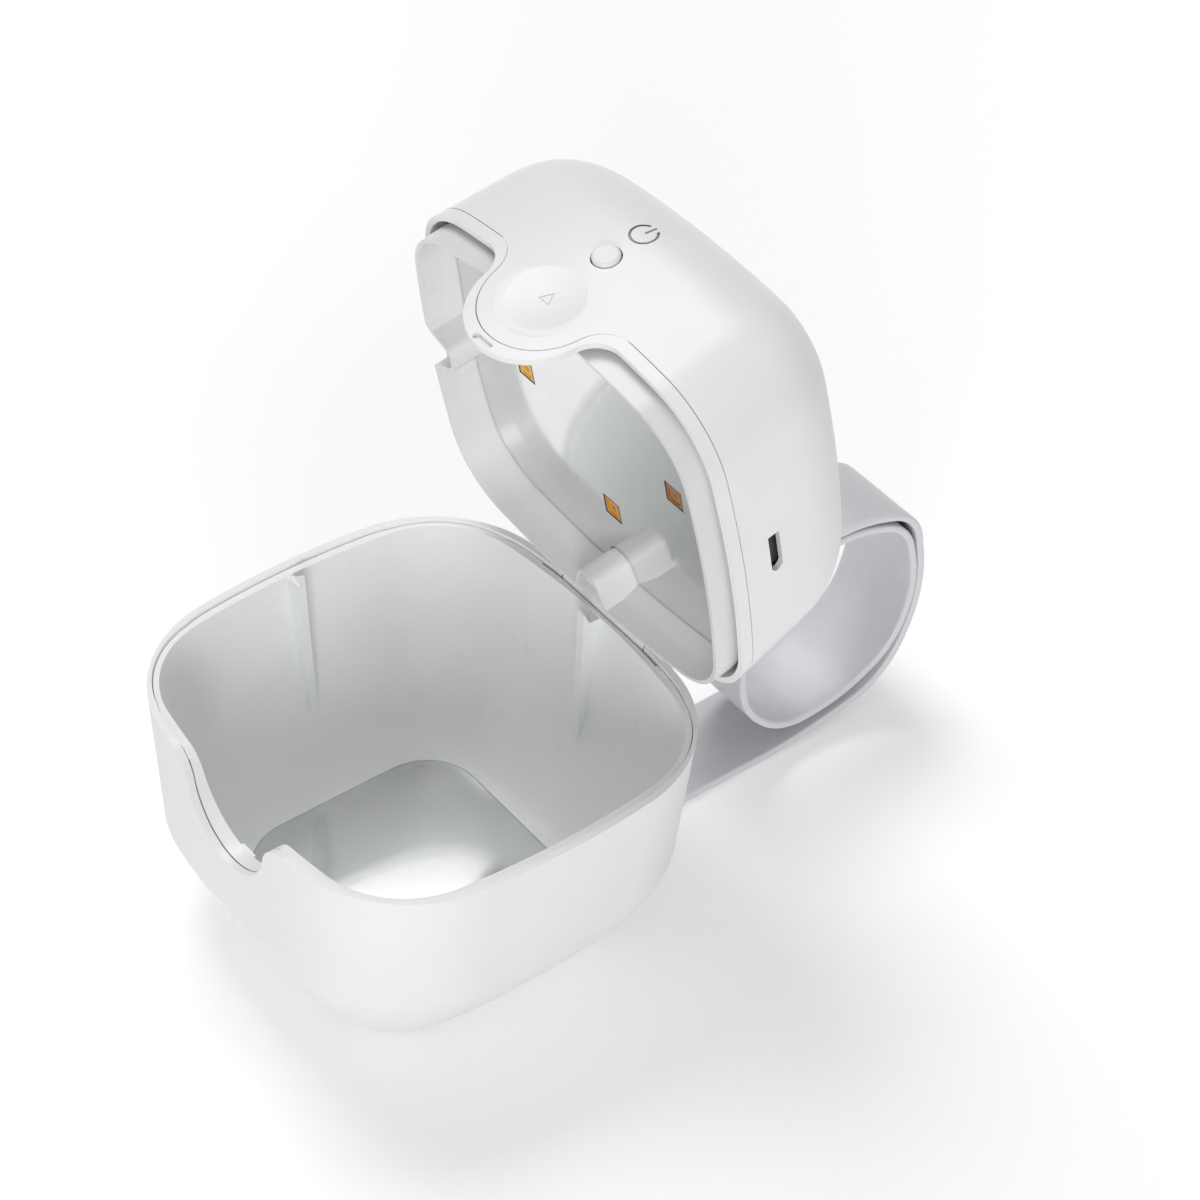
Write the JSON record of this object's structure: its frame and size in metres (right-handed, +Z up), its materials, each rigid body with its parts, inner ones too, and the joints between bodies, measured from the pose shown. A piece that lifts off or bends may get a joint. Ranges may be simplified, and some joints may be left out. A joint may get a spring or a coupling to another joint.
{
  "type": "pacifier sterilizer case",
  "caption": "Portable light-sterilizing case for one pacifier: rounded cup, hinged lid with lamps over a mirror, front push button, side charging port and a looped hanging band.",
  "frame": {"origin": "on the ground under the middle of the cup's foot", "axes": "+X to the right seen from the front, -Y is the front with the thumb notch, +Z up; the lid stands open"},
  "size_m": [0.075, 0.1253, 0.1075],
  "materials": {
    "shell_plastic": "satin",
    "liner_plastic": "semi-gloss",
    "mirror_panel": "polished",
    "strap_silicone": "soft matt",
    "steel": "satin",
    "nickel": "polished",
    "lamp": "semi-gloss",
    "circuit_board": "satin",
    "black_plastic": "matt",
    "battery_foil": "satin",
    "foam": "matt",
    "lead_sheath": "satin",
    "cable_film": "satin"
  },
  "bodies": {
    "base": {"base_shell": "shell_plastic", "base_liner": "liner_plastic", "floor_mirror": "mirror_panel", "hinge_pin": "steel", "sensor_magnet": "nickel", "strap": "strap_silicone", "strap_rivets": "steel", "snap_stud": "steel", "snap_cap": "steel"},
    "lid": {"rim_frame": "shell_plastic", "lid_shell": "shell_plastic", "lid_liner": "liner_plastic", "reflector_panel": "mirror_panel", "uv_lamps": "lamp", "main_board": "circuit_board", "board_chips": "black_plastic", "hall_sensor": "black_plastic", "charging_socket": "black_plastic", "battery": "battery_foil", "battery_pad": "foam", "battery_leads": "lead_sheath", "button_board": "circuit_board", "tact_switch": "black_plastic", "button_cable": "cable_film", "lid_screws": "steel", "board_screws": "steel"},
    "button": {"power_button": "shell_plastic"}
  },
  "joints": [
    {"name": "lid_hinge", "type": "hinge", "parent": "base", "child": "lid", "pos_m": [0, 0.03436, 0.03975], "axis": [1, 0, 0], "range_deg": [0, 80.8]},
    {"name": "power_press", "type": "slide", "parent": "lid", "child": "button", "axis": [0, 0.1599, -0.9871], "range_m": [0, 0.0004], "stiffness_N_per_m": 1500}
  ]
}
